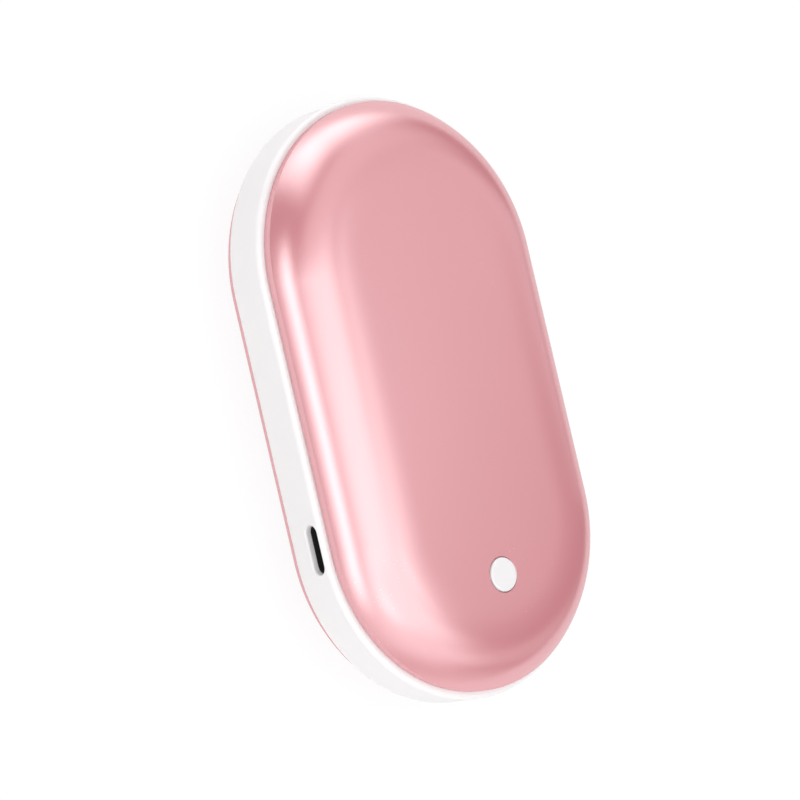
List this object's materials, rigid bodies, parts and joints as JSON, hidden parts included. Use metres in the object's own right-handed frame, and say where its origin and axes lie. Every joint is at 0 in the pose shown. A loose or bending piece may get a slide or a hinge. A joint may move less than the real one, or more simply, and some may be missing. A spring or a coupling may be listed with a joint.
{
  "type": "hand warmer",
  "caption": "Rechargeable pebble-shaped hand warmer with metal shells on a white band, film heaters, cells, a side charging port and a push button.",
  "frame": {"origin": "middle of the flat face of the rear shell, which it lies on", "axes": "+Z out of the front face with the button, +Y along the length away from the button, the charging port faces -X"},
  "size_m": [0.062, 0.108, 0.0253],
  "materials": {
    "rose_metal": "satin anodised",
    "white_band": "satin moulded",
    "white_button": "satin moulded",
    "frame_plastic": "moulded",
    "glue": "cured glue",
    "heat_tape": "matte",
    "heater_film": "polyimide film",
    "foam": "closed-cell foam",
    "cell": "shrink sleeve",
    "washer": "paper",
    "nickel": "plain",
    "board": "solder mask",
    "socket_steel": "plain",
    "black_plastic": "moulded",
    "gold": "plated",
    "switch_steel": "plain",
    "led": "clear resin",
    "chip_black": "moulded",
    "ferrite": "ferrite",
    "ceramic": "ceramic",
    "wire_red": "silicone",
    "wire_black": "silicone",
    "wire_white": "silicone",
    "screw_steel": "zinc plated"
  },
  "bodies": {
    "housing": {"front_shell": "rose_metal", "rear_shell": "rose_metal", "middle_band": "white_band", "front_frame": "frame_plastic", "rear_frame": "frame_plastic", "front_glue": "glue", "rear_glue": "glue", "front_heater_tape": "heat_tape", "rear_heater_tape": "heat_tape", "front_heater": "heater_film", "rear_heater": "heater_film", "front_foam": "foam", "rear_foam": "foam", "cell_left": "cell", "cell_right": "cell", "plus_washers": "washer", "plus_strip": "nickel", "minus_strip": "nickel", "main_board": "board", "socket_shell": "socket_steel", "socket_tongue": "black_plastic", "socket_contacts": "gold", "switch_base": "black_plastic", "switch_cover": "switch_steel", "switch_dome": "switch_steel", "status_leds": "led", "control_chip": "chip_black", "charge_chip": "chip_black", "heater_switches": "chip_black", "inductor": "ferrite", "capacitors": "ceramic", "resistors": "chip_black", "thermistor": "chip_black", "thermistor_leads": "wire_black", "front_heater_leads": "wire_white", "rear_heater_leads": "wire_white", "plus_lead": "wire_red", "minus_lead": "wire_black", "board_screws": "screw_steel", "case_screws": "screw_steel"},
    "button": {"button_cap": "white_button"},
    "plunger": {"switch_plunger": "black_plastic"}
  },
  "joints": [
    {"name": "button_press", "type": "slide", "parent": "housing", "child": "button", "axis": [0, 0, -1], "range_m": [0, 0.0003], "stiffness_N_per_m": 400},
    {"name": "plunger_press", "type": "slide", "parent": "housing", "child": "plunger", "axis": [0, 0, -1], "range_m": [0, 0.0003], "deforming": ["switch_dome"]}
  ],
  "couplings": [
    {"joint": "plunger_press", "follows": "button_press", "ratio": 1}
  ]
}
